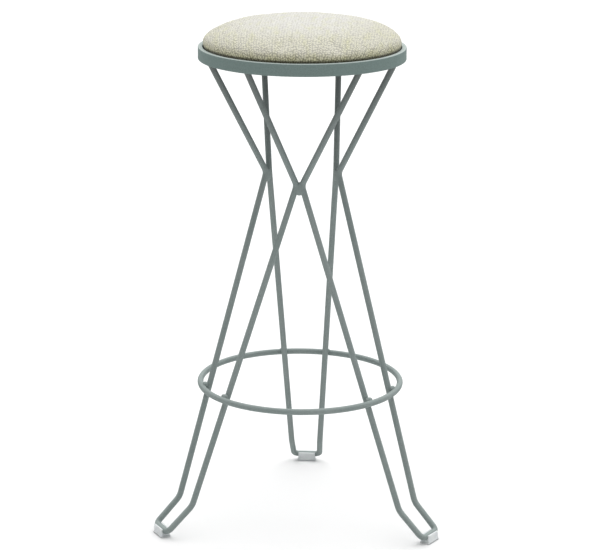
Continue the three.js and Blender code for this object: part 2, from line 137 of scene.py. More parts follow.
# The seat's sizes, from the tabs upwards
TAB_TOP = HEAD_HEIGHT
TAB_THICKNESS = 4
TAB_WIDTH = 24
TAB_LENGTH = 32
TAB_CORNER = 6
TAB_BEVEL = 0.5
TAB_END = HOOP_INNER - SEAM
TAB_BOTTOM = TAB_TOP - TAB_THICKNESS
DUST_CLEARANCE = 1
DUST_RADIUS = HOOP_INNER - DUST_CLEARANCE
DUST_THICKNESS = 0.8
DUST_BOTTOM = TAB_TOP + SEAM
COVER_THICKNESS = 1.2
BOARD_THICKNESS = 9
HEM_BOTTOM = DUST_BOTTOM + DUST_THICKNESS + SEAM
BOARD_TOP = HEM_BOTTOM + COVER_THICKNESS + SEAM + BOARD_THICKNESS
CUSHION_CLEARANCE = 4
CUSHION_EDGE = HOOP_INNER - CUSHION_CLEARANCE
CUSHION_BULGE = 3.8
CUSHION_RADIUS = CUSHION_EDGE + CUSHION_BULGE
CUSHION_CROWN = 38
BULGE_RISE = 6.6
BULGE_LEVEL = BOARD_TOP + BULGE_RISE
BULGE_HEIGHT = 12
HEM_RADIUS = 2
HEM_WIDTH = 26
HEM_INNER = CUSHION_EDGE - HEM_WIDTH

# Shape exponents of the crown: a flat top that rolls over into the sides
CROWN_RADIAL = 2.8
CROWN_UPRIGHT = 1.9

# The seat screws and their washers
SCREW_INSET = 18
SCREW_CIRCLE = TAB_END - SCREW_INSET
SCREW_RADIUS = 3
SCREW_HEAD_RADIUS = 5.5
SCREW_HEAD_HEIGHT = 3.4
SCREW_HEAD_EDGE = 1.4
SCREW_TIP_INSET = 1.5
SCREW_TIP = BOARD_TOP - SCREW_TIP_INSET
SCREW_TIP_CHAMFER = 0.8
SOCKET_FLATS = 4
SOCKET_DEPTH = 2
SOCKET_CHAMFER = 0.25
WASHER_RADIUS = 7
WASHER_BORE = 3.3
WASHER_EDGE = 0.3
WASHER_THICKNESS = 1.4
WASHER_TOP = TAB_BOTTOM - SEAM
WASHER_BOTTOM = WASHER_TOP - WASHER_THICKNESS

# The cloth before it is pressed out: its room under the crown, the foam's mounds as (height, x, y, spread)
# and waves as (height, length, seed), and the heights over the board in which they come in
CLOTH_ROOM = 1.2
CLOTH_ROOM_RISE = 30
MOUNDS = ((4.2, 84, -10, 3800), (-1.6, -72, 0, 3000))
WAVES = ((0.9, 60, 3.1), (0.3, 28, 8.4))
LUMP_RISE = 20

# The pressed-out cloth: the spacing of its rings, the height over the board in which it comes free, its
# farthest move, and its gathers along the hoop
COVER_SPACING = 3.2
CLOTH_FRAMES = 20
CLOTH_HELD_RISE = 8
CLOTH_REACH = 2.6
GATHER_DEPTH = 0.55
GATHER_DENSITY = 11
GATHER_LENGTH = 60
GATHER_LEVEL = BULGE_LEVEL - 4
GATHER_REACH = 13

# The dust cover's sag and its pulls, which end before the hoop
FELT_SAG = 3.2
FELT_SAG_REACH = 112
FELT_DIP = 0.5
FELT_DIP_REACH = 118
FELT_PULL = 0.5
FELT_PULL_REACH = 120
FELT_PULL_DENSITY = 5
FELT_PULL_LENGTH = 1.5

# Counts of facets, and the steps of a bend in degrees
BEND_STEP = 4
ROD_SIDES = 32
HOOP_SEGMENTS = 288
RING_SEGMENTS = 256
FASTENER_SEGMENTS = 60
CROWN_STEPS = 60
BULGE_STEPS = 12
EDGE_STEPS = 6
CORNER_STEPS = 8
ARC_STEPS = 8
FILLET_STEPS = 10
CLIP_STEPS = 5
BORE_STEPS = 40
BEVEL_STEPS = 3
BEAD_STEPS = 16
COVER_GRID = 72

# Angles in degrees above which an edge stays sharp
SHARP_ROD = 60
SHARP_PART = 40
SHARP_SCREW = 35
SHARP_FELT = 50
NEVER_SHARP = 180


def ring_axis():
    """The stool's upright axis, from the footrest ring's box, and the ring's centreline radius."""
    low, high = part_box("footrest_ring")
    middle = (low + high) / 2
    return Vector((middle.x, middle.y, 0)), (high.x - low.x) / 2 / MM - ROD_RADIUS


AXIS, RING_RADIUS = ring_axis()


# Meshes


def about_axis(degrees):
    return Matrix.Rotation(math.radians(degrees), 3, "Z")


def link_object(name, data):
    body = bpy.data.objects.new(name, data)
    bpy.context.scene.collection.objects.link(body)
    return body


def place(name, shape, slot, node_names, azimuth=0, sharp_angle=SHARP_ROD, material=None):
    """A new piece from vertices in millimetres round the stool's axis, turned to its azimuth. It wears
    its slot's material, unless it has one of its own."""
    mesh = bpy.data.meshes.new(name)
    vertices, faces = shape
    turn = about_axis(azimuth)
    mesh.from_pydata([AXIS + turn @ Vector(v) * MM for v in vertices], [], faces)
    mesh.validate()
    shade(mesh, sharp_angle)
    mesh.materials.append(material or LOOKS[slot])
    piece = link_object(name, mesh)
    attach(piece, "root")
    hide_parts(*node_names)
    return piece


def shade(mesh, sharp_angle):
    """Smooth shading, with edges sharper than the angle left sharp and all faces turned outwards."""
    bm = bmesh.new()
    bm.from_mesh(mesh)
    bmesh.ops.remove_doubles(bm, verts=bm.verts, dist=1e-7)
    bmesh.ops.recalc_face_normals(bm, faces=bm.faces)
    for face in bm.faces:
        face.smooth = True
    limit = math.radians(sharp_angle)
    for edge in bm.edges:
        edge.smooth = not edge.is_manifold or edge.calc_face_angle(0) < limit
    bm.to_mesh(mesh)
    bm.free()


def grid_faces(rows, columns, rows_close, columns_close):
    """Quads of a grid of vertices that may close on itself in either direction."""
    faces = []
    for i in range(rows if rows_close else rows - 1):
        j = (i + 1) % rows
        for k in range(columns if columns_close else columns - 1):
            m = (k + 1) % columns
            faces.append((i * columns + k, j * columns + k, j * columns + m, i * columns + m))
    return faces


def turned(profile, segments):
    """Vertices and faces of a closed profile of (radius, height) points, turned about the axis."""
    vertices = []
    for i in range(segments):
        angle = 2 * math.pi * i / segments
        vertices += [(r * math.cos(angle), r * math.sin(angle), z) for r, z in profile]
    return vertices, grid_faces(segments, len(profile), True, True)


def arc_bar(profile, middle, spread, steps=ARC_STEPS):
    """A closed stretch of a turned profile, to each side of a middle azimuth in degrees."""
    vertices = []
    for i in range(steps + 1):
        angle = math.radians(middle + spread * (2 * i / steps - 1))
        vertices += [(r * math.cos(angle), r * math.sin(angle), z) for r, z in profile]
    count = len(profile)
    faces = grid_faces(steps + 1, count, False, True)
    faces += [tuple(range(count)), tuple(range((steps + 1) * count - 1, steps * count - 1, -1))]
    return vertices, faces


def bead(radius, level, size, azimuth, boxy=1):
    """A weld bead's raw ellipsoid at a radius and a level, squarer where boxy is under 1."""
    turn = about_axis(azimuth)
    centre = turn @ Vector((radius, 0, level))
    vertices = []
    for i in range(BEAD_STEPS + 1):
        polar = math.pi * i / BEAD_STEPS
        for k in range(2 * BEAD_STEPS):
            angle = math.pi * k / BEAD_STEPS
            shares = math.sin(polar) * math.cos(angle), math.sin(polar) * math.sin(angle), math.cos(polar)
            spot = [math.copysign(abs(s) ** boxy, s) * length / 2 for s, length in zip(shares, size)]
            vertices.append(centre + turn @ Vector(spot))
    return vertices, grid_faces(BEAD_STEPS + 1, 2 * BEAD_STEPS, False, True)


def extruded(outline, bottom, top):
    """A prism over an outline of (x, y) points."""
    count = len(outline)
    vertices = [(x, y, bottom) for x, y in outline] + [(x, y, top) for x, y in outline]
    faces = grid_faces(2, count, False, True)
    faces += [tuple(range(count)), tuple(range(2 * count - 1, count - 1, -1))]
    return vertices, faces


def bevelled(vertices, faces, width):
    """The same closed shape with its sharp edges rounded."""
    bm = mesh_of(vertices, faces)
    limit = math.radians(SHARP_PART)
    sharp = [e for e in bm.edges if e.is_manifold and e.calc_face_angle(0) > limit]
    bmesh.ops.bevel(bm, geom=sharp, offset=width, segments=BEVEL_STEPS, profile=0.5, affect="EDGES")
    return read_mesh(bm)


def mesh_of(vertices, faces):
    bm = bmesh.new()
    made = [bm.verts.new(v) for v in vertices]
    for face in faces:
        bm.faces.new([made[i] for i in face])
    bmesh.ops.remove_doubles(bm, verts=bm.verts, dist=1e-5)
    bmesh.ops.dissolve_degenerate(bm, edges=bm.edges, dist=1e-5)
    bmesh.ops.recalc_face_normals(bm, faces=bm.faces)
    return bm


def read_mesh(bm):
    bm.verts.index_update()
    vertices = [v.co.copy() for v in bm.verts]
    faces = [tuple(v.index for v in f.verts) for f in bm.faces]
    bm.free()
    return vertices, faces


def joined(*shapes):
    vertices, faces = [], []
    for more_vertices, more_faces in shapes:
        start = len(vertices)
        vertices += [Vector(v) for v in more_vertices]
        faces += [tuple(i + start for i in face) for face in more_faces]
    return vertices, faces


def melted(rounds, *shapes):
    """Overlapping closed shapes run together into one skin, with their creases filled smooth."""
    vertices, faces = joined(*shapes)
    mesh = bpy.data.meshes.new("melt")
    mesh.from_pydata(vertices, [], faces)
    lump = link_object("melt", mesh)
    remesh = lump.modifiers.new("remesh", "REMESH")
    remesh.mode = "VOXEL"
    remesh.voxel_size = MELT_VOXEL
    lump.modifiers.new("smooth", "SMOOTH").iterations = rounds
    evaluated = lump.evaluated_get(bpy.context.evaluated_depsgraph_get())
    skin = evaluated.to_mesh()
    vertices = [v.co.copy() for v in skin.vertices]
    faces = [tuple(f.vertices) for f in skin.polygons]
    evaluated.to_mesh_clear()
    bpy.data.objects.remove(lump)
    bpy.data.meshes.remove(mesh)
    return vertices, faces


def corner(x, y, radius, start, end, steps=EDGE_STEPS):
    """Points along a round corner about (x, y), from one angle to another."""
    angles = [math.radians(start + (end - start) * i / steps) for i in range(steps + 1)]
    return [(x + radius * math.cos(a), y + radius * math.sin(a)) for a in angles]


def sweep(stations, radius):
    """A rod with flat ends round stations of (point, tangent)."""
    side = Vector((0, 0, 1)).cross(stations[0][1])
    vertices = []
    for point, tangent in stations:
        side = (side - tangent * side.dot(tangent)).normalized()
        other = tangent.cross(side)
        for k in range(ROD_SIDES):
            angle = 2 * math.pi * k / ROD_SIDES
            vertices.append(point + (side * math.cos(angle) + other * math.sin(angle)) * radius)
    last = (len(stations) - 1) * ROD_SIDES
    faces = grid_faces(len(stations), ROD_SIDES, False, True)
    faces += [tuple(range(ROD_SIDES)), tuple(range(last + ROD_SIDES - 1, last - 1, -1))]
    return vertices, faces


# The legs' centreline, for a leg that points along +X


def direction(a, b):
    return (b - a).normalized()


def waist_tip(side):
    azimuth = math.radians(60) * side
    sideways = ROD_RADIUS + WAIST_WELD_GAP / 2
    return Vector((
        WAIST_RADIUS * math.cos(azimuth) + sideways * math.sin(azimuth) * side,
        WAIST_RADIUS * math.sin(azimuth) - sideways * math.cos(azimuth) * side,
        WAIST_HEIGHT,
    ))


def head_azimuth(side):
    return HEAD_HALF_ANGLE * side + HEAD_TWIST


def head_point(side):
    azimuth = math.radians(head_azimuth(side))
    return Vector((HEAD_RADIUS * math.cos(azimuth), HEAD_RADIUS * math.sin(azimuth), HEAD_HEIGHT))


def knee_point(side):
    return Vector((KNEE_RADIUS, side * KNEE_HALF_WIDTH, KNEE_HEIGHT))


def foot_point(side):
    return Vector((FOOT_RADIUS, side * FOOT_HALF_WIDTH, FOOT_ROD_HEIGHT))


def waist_corner(side):
    """Where a rod's two straights meet, so that its bend passes through the waist's tip."""
    tip = waist_tip(side)
    up, down = direction(tip, head_point(side)), direction(tip, knee_point(side))
    half_turn = (math.pi - up.angle(down)) / 2
    return tip - (up + down).normalized() * WAIST_BEND * (1 / math.cos(half_turn) - 1)


def bend(point, before, after, radius):
    """Stations round a rounded corner between two straights."""
    arriving, leaving = direction(before, point), direction(point, after)
    turn = arriving.angle(leaving)
    centre = point + (leaving - arriving).normalized() * radius / math.cos(turn / 2)
    axis = arriving.cross(leaving).normalized()
    spoke = point - arriving * radius * math.tan(turn / 2) - centre
    steps = math.ceil(math.degrees(turn) / BEND_STEP)
    stations = []
    for i in range(steps + 1):
        rotation = Matrix.Rotation(turn * i / steps, 3, axis)
        stations.append((centre + rotation @ spoke, rotation @ arriving))
    return stations


def leg_stations():
    corners = [head_point(-1), waist_corner(-1), knee_point(-1), foot_point(-1)]
    corners += [foot_point(1), knee_point(1), waist_corner(1), head_point(1)]
    radii = [WAIST_BEND, KNEE_BEND, FOOT_BEND, FOOT_BEND, KNEE_BEND, WAIST_BEND]
    stations = head_stations(corners[0], corners[1])
    for i, radius in enumerate(radii):
        stations += bend(corners[i + 1], corners[i], corners[i + 2], radius)
    heads = head_stations(corners[-1], corners[-2])
    return stations + [(point, -tangent) for point, tangent in reversed(heads)]


def head_stations(head, waist):
    """Close stations through a rod's head, so that its level top and its hollow side come out clean."""
    downwards = direction(head, waist)
    overrun, length, step = 2 * ROD_RADIUS, 24, 0.8
    return [(head + downwards * (i - overrun), downwards) for i in np.arange(0, length, step)]


# Materials


def nodes_of(name):
    material = bpy.data.materials.new(name)
    material.use_nodes = True
    tree = material.node_tree
    return material, tree, tree.nodes["Principled BSDF"]


def feed(tree, socket, value):
    """An input set to a value, or linked to another node's output."""
    if isinstance(value, bpy.types.NodeSocket):
        tree.links.new(value, socket)
    else:
        socket.default_value = value


def dress(tree, shader, **values):
    """A shader's inputs, with _ for the spaces in their names."""
    for name, value in values.items():
        feed(tree, shader.inputs[name.replace("_", " ")], value)


def add(tree, kind, links=(), **values):
    """A node with its properties, its inputs' values and its inputs' links, which are (input, socket)."""
    node = tree.nodes.new(kind)
    for key, value in values.items():
        if hasattr(node, key):
            setattr(node, key, value)
        else:
            node.inputs[key.replace("_", " ")].default_value = value
    for name, socket in links:
        tree.links.new(socket, node.inputs[name])
    return node


def math_node(tree, operation, a, b=0.0, c=0.0):
    node = tree.nodes.new("ShaderNodeMath")
    node.operation = operation
    for socket, value in zip(node.inputs, (a, b, c)):
        feed(tree, socket, value)
    return node.outputs[0]


def product(tree, a, b):
    return math_node(tree, "MULTIPLY", a, b)


def sum_of(tree, a, share, b):
    """A share of a, added to b."""
    return math_node(tree, "MULTIPLY_ADD", a, share, b)


def mix_color(tree, share, a, b):
    node = tree.nodes.new("ShaderNodeMix")
    node.data_type = "RGBA"
    for socket, value in ((node.inputs[0], share), (node.inputs[6], a), (node.inputs[7], b)):
        feed(tree, socket, value)
    return node.outputs[2]


def span(tree, value, low, high, to_low, to_high):
    """A value mapped from one range to another and kept within it."""
    node = add(tree, "ShaderNodeMapRange", [("Value", value)])
    dress(tree, node, From_Min=low, From_Max=high, To_Min=to_low, To_Max=to_high)
    return node.outputs[0]


def wave(tree, value, pitch):
    return math_node(tree, "SINE", product(tree, value, 2 * math.pi / pitch))


def linear(red, green, blue):
    """An sRGB colour of 0 to 255 as linear light."""
    shares = [c / 255 for c in (red, green, blue)]
    return tuple(s / 12.92 if s <= 0.04045 else ((s + 0.055) / 1.055) ** 2.4 for s in shares) + (1.0,)


def noise_node(tree, coordinates, scale, detail, rough=0.55):
    links = [("Vector", coordinates)]
    return add(tree, "ShaderNodeTexNoise", links, Scale=scale, Detail=detail, Roughness=rough).outputs[0]


def cells_node(tree, coordinates, scale, **values):
    links = [("Vector", coordinates)]
    return add(tree, "ShaderNodeTexVoronoi", links, Scale=scale, **values).outputs["Distance"]


def object_space(tree):
    return tree.nodes.new("ShaderNodeTexCoord").outputs["Object"]


def surface(tree, what):
    return tree.nodes.new("ShaderNodeNewGeometry").outputs[what]


def upward(tree, vector):
    return add(tree, "ShaderNodeSeparateXYZ", [("Vector", vector)]).outputs["Z"]


def emboss(tree, shader, height, strength, depth):
    """Bump of a height that stands for a depth in metres."""
    bump = add(tree, "ShaderNodeBump", [("Height", height)], Strength=strength, Distance=depth)
    dress(tree, shader, Normal=bump.outputs[0])


# The heights in metres over which the coat darkens into a painted shade, for the seat's shadow on the rods
SHADE_LOW = 0.62
SHADE_HIGH = 0.785

# The weave: its unit in millimetres, its turn in degrees, its pitches in its own unit, and the depth in
# metres of its loops
WEAVE = "weave"
WEAVE_UNIT = 100
WARP_TURN = 0.5
ZIGZAG_WIDTH = 0.09
ZIGZAG_LEAN = 0.55
COLUMN_PITCH = 0.056
ROW_PITCH = 0.05
BAND_PITCH = 0.23
WOBBLE = 0.012
LOOP_DEPTH = 0.0012

# A pale and a dark birch ply together, in metres
PLY_PAIR = 0.0028

# The yarns of the cloth, and its painted shade: olive in the hollows between the yarns, darker and
# yellower where it leans or stands steep, and nearly black next to the hoop
CREAM_YARN = linear(243, 242, 239)
GREEN_YARN = linear(240, 240, 215)
GREY_YARN = linear(230, 227, 229)
WHITE_YARN = linear(250, 249, 245)
SAND_YARN = linear(228, 224, 198)
OLIVE_HOLLOW_SHADE = linear(104, 99, 48)
LEANING_SHADE_TONE = linear(226, 221, 160)
STEEP_SHADE_TONE = linear(190, 185, 104)
HOOP_GAP_SHADE_TONE = linear(46, 44, 26)


def powder_coat(name, deep, pale, painted_seat_shade, painted_top_light):
    """Matt grey-green powder coat: fine orange peel, faint cloudiness, and paler edges that are partly
    rubbed wear and partly a painted highlight. Up under the seat it darkens into a painted shade of the
    seat's shadow, and where it faces up it is paler by a share of painted top light."""
    material, tree, shader = nodes_of(name)
    here = object_space(tree)
    cloud = span(tree, noise_node(tree, here, 14, 4), 0.35, 0.65, 0, 1)
    speck = span(tree, noise_node(tree, here, 900, 2), 0.35, 0.65, 0, 1)
    base = mix_color(tree, cloud, linear(*deep), linear(*pale))
    height = upward(tree, surface(tree, "Position"))
    # Painted shade: darker up towards the seat, standing for the seat's shadow
    base = mix_color(tree, span(tree, height, SHADE_LOW, SHADE_HIGH, 0, 1), base, linear(*painted_seat_shade))
    grain = span(tree, noise_node(tree, here, 480, 2), 0.4, 0.62, 0, 0.22)
    base = mix_color(tree, grain, base, linear(96, 104, 103))
    base = mix_color(tree, product(tree, speck, 0.2), base, linear(172, 182, 180))
    # Paler edges: partly rubbed wear, partly a painted highlight along them
    edges = span(tree, surface(tree, "Pointiness"), 0.53, 0.6, 0, 0.8)
    wear_and_edge_highlight = product(tree, edges, sum_of(tree, cloud, 0.5, 0.5))
    base = mix_color(tree, wear_and_edge_highlight, base, linear(164, 176, 172))
    # Painted highlight: paler where the coat faces up, for the light from above
    rise = upward(tree, surface(tree, "Normal"))
    base = mix_color(tree, span(tree, rise, 0.5, 0.95, 0, painted_top_light), base, linear(190, 200, 197))
    rough = sum_of(tree, speck, 0.05, sum_of(tree, cloud, 0.07, 0.5))
    dress(tree, shader, Base_Color=base, Roughness=rough, Specular_IOR_Level=0.03)
    emboss(tree, shader, sum_of(tree, speck, 0.4, noise_node(tree, here, 420, 2)), 0.35, 0.00012)
    return material


def moulded_plastic():
    """Pale, slightly see-through plastic with a fine moulded skin and a little scuffing."""
    material, tree, shader = nodes_of("glide_plastic")
    here = object_space(tree)
    cloud = span(tree, noise_node(tree, here, 60, 4), 0.35, 0.7, 0, 1)
    base = mix_color(tree, cloud, linear(224, 229, 231), linear(238, 242, 242))
    dress(tree, shader, Base_Color=base, Roughness=span(tree, cloud, 0, 1, 0.32, 0.46))
    dress(tree, shader, Subsurface_Weight=0.35, Subsurface_Scale=1, Subsurface_Radius=(0.003, 0.003, 0.0032))
    emboss(tree, shader, noise_node(tree, here, 1500, 2), 0.25, 0.00005)
    return material


def zinc():
    """Bright zinc plating with faint cloudy spangles."""
    material, tree, shader = nodes_of("zinc_steel")
    tone = span(tree, cells_node(tree, object_space(tree), 500), 0, 0.7, 0, 1)
    base = mix_color(tree, tone, linear(176, 181, 186), linear(206, 209, 212))
    dress(tree, shader, Base_Color=base, Roughness=span(tree, tone, 0, 1, 0.26, 0.42), Metallic=1)
    return material


def felt():
    """Thin black non-woven dust cover: pressed fibres and small dimples."""
    material, tree, shader = nodes_of("dust_cover_felt")
    here = object_space(tree)
    fibres = noise_node(tree, here, 1300, 5, 0.7)
    base = mix_color(tree, span(tree, fibres, 0.35, 0.7, 0, 1), linear(26, 27, 29), linear(58, 60, 63))
    dress(tree, shader, Base_Color=base, Roughness=0.95, Sheen_Weight=0.3)
    emboss(tree, shader, math_node(tree, "ADD", fibres, cells_node(tree, here, 450)), 0.6, 0.0003)
    return material


def plywood():
    """Birch plywood: grain across the faces and thin dark plies round the edge."""
    material, tree, shader = nodes_of("plywood")
    here = object_space(tree)
    stretched = add(tree, "ShaderNodeMapping", [("Vector", here)], Scale=(12, 160, 160)).outputs[0]
    grain = span(tree, noise_node(tree, stretched, 1, 6, 0.6), 0.3, 0.7, 0, 1)
    plies = wave(tree, upward(tree, here), PLY_PAIR)
    base = mix_color(tree, grain, linear(214, 184, 137), linear(187, 150, 100))
    base = mix_color(tree, span(tree, plies, 0.3, 1, 0, 0.5), base, linear(150, 112, 70))
    dress(tree, shader, Base_Color=base, Roughness=0.7)
    emboss(tree, shader, grain, 0.3, 0.0002)
    return material


def seat_foam():
    """Cream polyurethane foam with open cells."""
    material, tree, shader = nodes_of("seat_foam")
    cells = cells_node(tree, object_space(tree), 700)
    base = mix_color(tree, span(tree, cells, 0, 0.8, 0, 1), linear(206, 192, 138), linear(236, 226, 184))
    dress(tree, shader, Base_Color=base, Roughness=1)
    emboss(tree, shader, cells, 0.8, 0.0008)
    return material


def wobbled(tree, cloth):
    """The cloth's coordinates, pulled a little out of true."""
    wobble = add(tree, "ShaderNodeTexNoise", [("Vector", cloth)], Scale=9, Detail=2).outputs["Color"]
    centred = add(tree, "ShaderNodeVectorMath", [(0, wobble)], operation="SUBTRACT")
    centred.inputs[1].default_value = (0.5, 0.5, 0.5)
    shift = add(tree, "ShaderNodeVectorMath", [(0, centred.outputs[0])], operation="SCALE")
    shift.inputs["Scale"].default_value = WOBBLE
    return add(tree, "ShaderNodeVectorMath", [(0, cloth), (1, shift.outputs[0])], operation="ADD").outputs[0]


def seat_fabric():
    """Pale woven upholstery. The weave lies in the cloth's own plane, which the UV map WEAVE holds in
    units of 100 mm, so that it bends over the crown without stretching."""
    material, tree, shader = nodes_of("seat_fabric")
    here = wobbled(tree, add(tree, "ShaderNodeUVMap", uv_map=WEAVE).outputs[0])
    axes = add(tree, "ShaderNodeSeparateXYZ", [("Vector", here)])
    across, along = axes.outputs["X"], axes.outputs["Y"]

    # Small round loops of yarn, roughly in zigzag rows, with loose fibres on them
    zigzag = math_node(tree, "PINGPONG", across, ZIGZAG_WIDTH)
    row = sum_of(tree, zigzag, ZIGZAG_LEAN, along)
    stitches = product(tree, wave(tree, across, COLUMN_PITCH), wave(tree, row, ROW_PITCH))
    spread = add(tree, "ShaderNodeCombineXYZ", [("X", across), ("Y", row)]).outputs[0]
    cells = cells_node(tree, spread, 23, voronoi_dimensions="2D", Randomness=0.55)
    loops = span(tree, cells, 0.05, 0.6, 1, 0)
    fuzz = noise_node(tree, here, 150, 4, 0.7)
    relief = sum_of(tree, loops, 0.8, product(tree, fuzz, 0.35))
    relief = sum_of(tree, sum_of(tree, stitches, 0.5, 0.5), 0.2, relief)
    raised = span(tree, relief, 0.25, 0.85, 0, 1)

    # Melange of cream, yellow-green and grey yarn, with soft bands along the warp
    patches = add(tree, "ShaderNodeMapping", [("Vector", here)], Scale=(1, 0.45, 1)).outputs[0]
    green = span(tree, noise_node(tree, patches, 7, 4, 0.6), 0.47, 0.72, 0, 1)
    grey = span(tree, noise_node(tree, patches, 9.5, 4, 0.6), 0.5, 0.72, 0, 1)
    yarn = span(tree, noise_node(tree, here, 48, 3, 0.6), 0.35, 0.65, 0, 1)
    base = mix_color(tree, green, CREAM_YARN, GREEN_YARN)
    base = mix_color(tree, product(tree, grey, 0.7), base, GREY_YARN)
    faint = span(tree, noise_node(tree, patches, 5, 2), 0.35, 0.6, 0.1, 0.55)
    bands = span(tree, wave(tree, across, BAND_PITCH), 0.3, 1, 0, 1)
    base = mix_color(tree, product(tree, bands, faint), base, WHITE_YARN)
    base = mix_color(tree, product(tree, yarn, 0.2), base, SAND_YARN)

    # Painted shade: an olive shade in the hollows between the yarns, stronger where the cloth leans or
    # stands steep, and darker, yellower tones there, for the light that reaches sloping cloth less
    rise = upward(tree, surface(tree, "Normal"))
    steep_shade = span(tree, rise, 0, 0.68, 1, 0)
    slope = math_node(tree, "SQRT", sum_of(tree, product(tree, rise, rise), -1, 1))
    leaning_shade = span(tree, slope, 0.05, 0.4, 0, 0.42)
    depth = sum_of(tree, steep_shade, 0.34, sum_of(tree, leaning_shade, 0.45, 0.3))
    # The weave's hollows take the painted olive shade; the raised loops keep the yarns' tones
    low = mix_color(tree, depth, base, OLIVE_HOLLOW_SHADE)
    base = mix_color(tree, product(tree, leaning_shade, 0.75), base, LEANING_SHADE_TONE)
    base = mix_color(tree, product(tree, steep_shade, 0.32), base, STEEP_SHADE_TONE)
    base = mix_color(tree, raised, low, base)

    # Painted shade: next to the hoop, where the cloth turns in, it darkens nearly to black for the shadow in
    # the gap
    height = upward(tree, surface(tree, "Position"))
    hoop_gap_shade = span(tree, height, (HOOP_TOP + 2.5) * MM, (HOOP_TOP + 5) * MM, 0.75, 0)
    base = mix_color(tree, hoop_gap_shade, base, HOOP_GAP_SHADE_TONE)
    dress(tree, shader, Base_Color=base, Roughness=0.92, Specular_IOR_Level=0.25)
    dress(tree, shader, Sheen_Weight=0.25, Sheen_Roughness=0.5)
    emboss(tree, shader, relief, 0.9, LOOP_DEPTH)
    return material


# The hoop's copy of the coat is bluer and darker than the rods', partly its own tone and partly painted
# shade on its flat upright faces, and it takes a stronger painted top light
COAT = powder_coat("powder_coat", (145, 157, 155), (155, 165, 163), (110, 115, 113), 0.3)
HOOP_COAT = powder_coat("powder_coat_hoop", (121, 140, 136), (127, 146, 142), (123, 142, 138), 0.85)
FRAME_SLOT = "frame_powder_coat"
LOOKS = {
    FRAME_SLOT: COAT,
    "glide_plastic": moulded_plastic(),
    "zinc_steel": zinc(),
    "dust_cover_felt": felt(),
    "plywood": plywood(),
    "seat_foam": seat_foam(),
    "seat_fabric": seat_fabric(),
}


def repaint_nodes():
    """The CAD nodes get these materials too: the hidden board and T-nuts keep their own shape."""
    slots = {s["node"]: s["material_slot"] for s in frame["record"]["subparts"]}
    for name, node in frame["nodes"].items():
        node.data.materials.clear()
        node.data.materials.append(LOOKS[slots[name]])


# The steel frame


def make_legs():
    """Each leg's rod, cut level at its heads and hollowed to the hoop's inner face."""
    vertices, faces = sweep(leg_stations(), ROD_RADIUS)
    hollow = HOOP_INNER - SEAM
    fitted = []
    for v in vertices:
        v = Vector(v)
        reach = math.hypot(v.x, v.y)
        if v.z > HOOP_BOTTOM - SEAM and reach > hollow:
            v.x, v.y = (c * hollow / reach for c in (v.x, v.y))
        v.z = min(v.z, HEAD_HEIGHT)
        fitted.append(v)
    for where, azimuth in LEGS.items():
        node = f"leg_{where}"
        place(f"{node}_rod", (fitted, faces), FRAME_SLOT, [node], azimuth)


def hoop_profile(inset):
    """The flat bar's section with its rounded edges, drawn in all round by an inset."""
    inner, outer = HOOP_INNER + inset, HOOP_OUTER - inset
    bottom, top = HOOP_BOTTOM + inset, HOOP_TOP - inset
    r = HOOP_EDGE
    profile = corner(outer - r, bottom + r, r, -90, 0) + corner(outer - r, top - r, r, 0, 90)
    return profile + corner(inner + r, top - r, r, 90, 180) + corner(inner + r, bottom + r, r, 180, 270)


def make_hoop():
    hoop = turned(hoop_profile(0), HOOP_SEGMENTS)
    place("seat_hoop_bar", hoop, FRAME_SLOT, ["seat_hoop"], material=HOOP_COAT)


def ring_section(radius):
    return corner(RING_RADIUS, FOOTREST_HEIGHT, radius, 0, 360, ROD_SIDES)[:-1]


def make_footrest():
    ring = turned(ring_section(ROD_RADIUS), RING_SEGMENTS)
    place("footrest_ring_rod", ring, FRAME_SLOT, ["footrest_ring"])


# Welds, run smoothly into the pieces that they join


def waist_rod(side, azimuth):
    """The stretch of a leg's rod round its waist, a little slimmer than the rod."""
    turn = about_axis(azimuth)
    head, bent, knee = head_point(side), waist_corner(side), knee_point(side)
    up, down = direction(bent, head), direction(bent, knee)
    first = (bent + up * ((WAIST_HEIGHT + WAIST_WEB_RISE - bent.z) / up.z), -up)
    last = (bent + down * ((WAIST_HEIGHT - WAIST_WEB_DROP - bent.z) / down.z), down)
    stations = [first, *bend(bent, head, knee, WAIST_BEND), last]
    return sweep([(turn @ p, turn @ t) for p, t in stations], ROD_RADIUS - WAIST_WELD_SINK)


def straight_rod(point, along, before, after):
    """A stretch of straight rod from before a point to after it, a little slimmer than the rod."""
    ends = [(point - along * before, along), (point + along * after, along)]
    return sweep(ends, ROD_RADIUS - WELD_SINK)


def place_welds(kind, shape, spots, ending, letter=""):
    for where, azimuth in spots.items():
        node = f"{kind}_{where}{letter}"
        place(f"{node}_{ending}", shape, FRAME_SLOT, [node], azimuth, NEVER_SHARP)


def make_waist_welds():
    """The smooth web between two rods that touch, built halfway between two legs at azimuth 60."""
    raw = bead(WAIST_RADIUS, WAIST_HEIGHT - WAIST_BEAD_DROP, WAIST_BEAD, 60, WAIST_BEAD_BOXY)
    vertices, faces = melted(WAIST_MELT_ROUNDS, raw, waist_rod(1, 0), waist_rod(-1, 120))
    turn_back = about_axis(-60)
    web = [turn_back @ v for v in vertices], faces
    place_welds("waist_weld", web, BETWEEN, "web")


def make_hoop_welds():
    for letter, side in SIDES.items():
        azimuth = head_azimuth(side)
        raw = bead(HOOP_INNER, HOOP_BOTTOM + HOOP_BEAD_RISE, HOOP_BEAD, azimuth)
        bar = arc_bar(hoop_profile(WELD_SINK), azimuth, BEAD_SPREAD)
        head = head_point(side)
        rod = straight_rod(head, direction(waist_corner(side), head), *HOOP_WELD_ROD)
        shape = melted(MELT_ROUNDS, raw, bar, rod)
        place_welds("hoop_weld", shape, LEGS, "bead", f"_{letter}")


